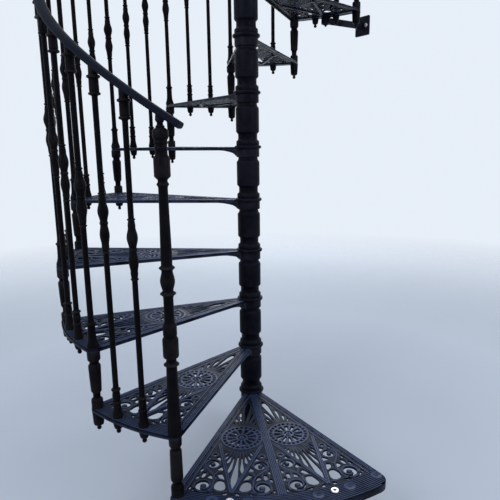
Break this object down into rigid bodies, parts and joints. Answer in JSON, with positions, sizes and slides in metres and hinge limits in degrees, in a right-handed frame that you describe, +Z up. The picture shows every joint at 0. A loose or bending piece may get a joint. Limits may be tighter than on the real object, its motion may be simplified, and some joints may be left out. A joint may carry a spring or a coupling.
{
  "type": "spiral staircase",
  "caption": "Black cast-iron spiral staircase with pierced treads, turned balusters and a helical handrail, clockwise going up.",
  "frame": {"origin": "on the column's axis at the underside of the base flange, which stands on the floor", "axes": "+Z up along the column; -Y towards the first tread and the viewer of the picture, +X to the viewer's right"},
  "size_m": [1.4672, 1.5212, 3.342],
  "materials": {
    "iron": "satin black paint over cast iron",
    "pole": "black painted steel tube",
    "handrail": "gloss black moulded rail cover"
  },
  "bodies": {
    "root": {"base_flange": "iron", "centre_pole": "pole", "column_finial": "iron", "column_spacers": "iron", "corner_spacers": "iron", "handrail_1": "handrail", "handrail_2": "handrail", "handrail_3": "handrail", "handrail_4": "handrail", "main_balusters": "iron", "newel_foot": "iron", "newel_post": "iron", "pendants_corner": "iron", "pendants_slim": "iron", "slim_balusters_high": "iron", "slim_balusters_low": "iron", "stay_bolt": "iron", "tread_01": "iron", "tread_02": "iron", "tread_03": "iron", "tread_04": "iron", "tread_05": "iron", "tread_06": "iron", "tread_07": "iron", "tread_08": "iron", "tread_09": "iron", "tread_10": "iron", "tread_11": "iron", "tread_12": "iron", "wall_stay": "iron"}
  },
  "joints": []
}
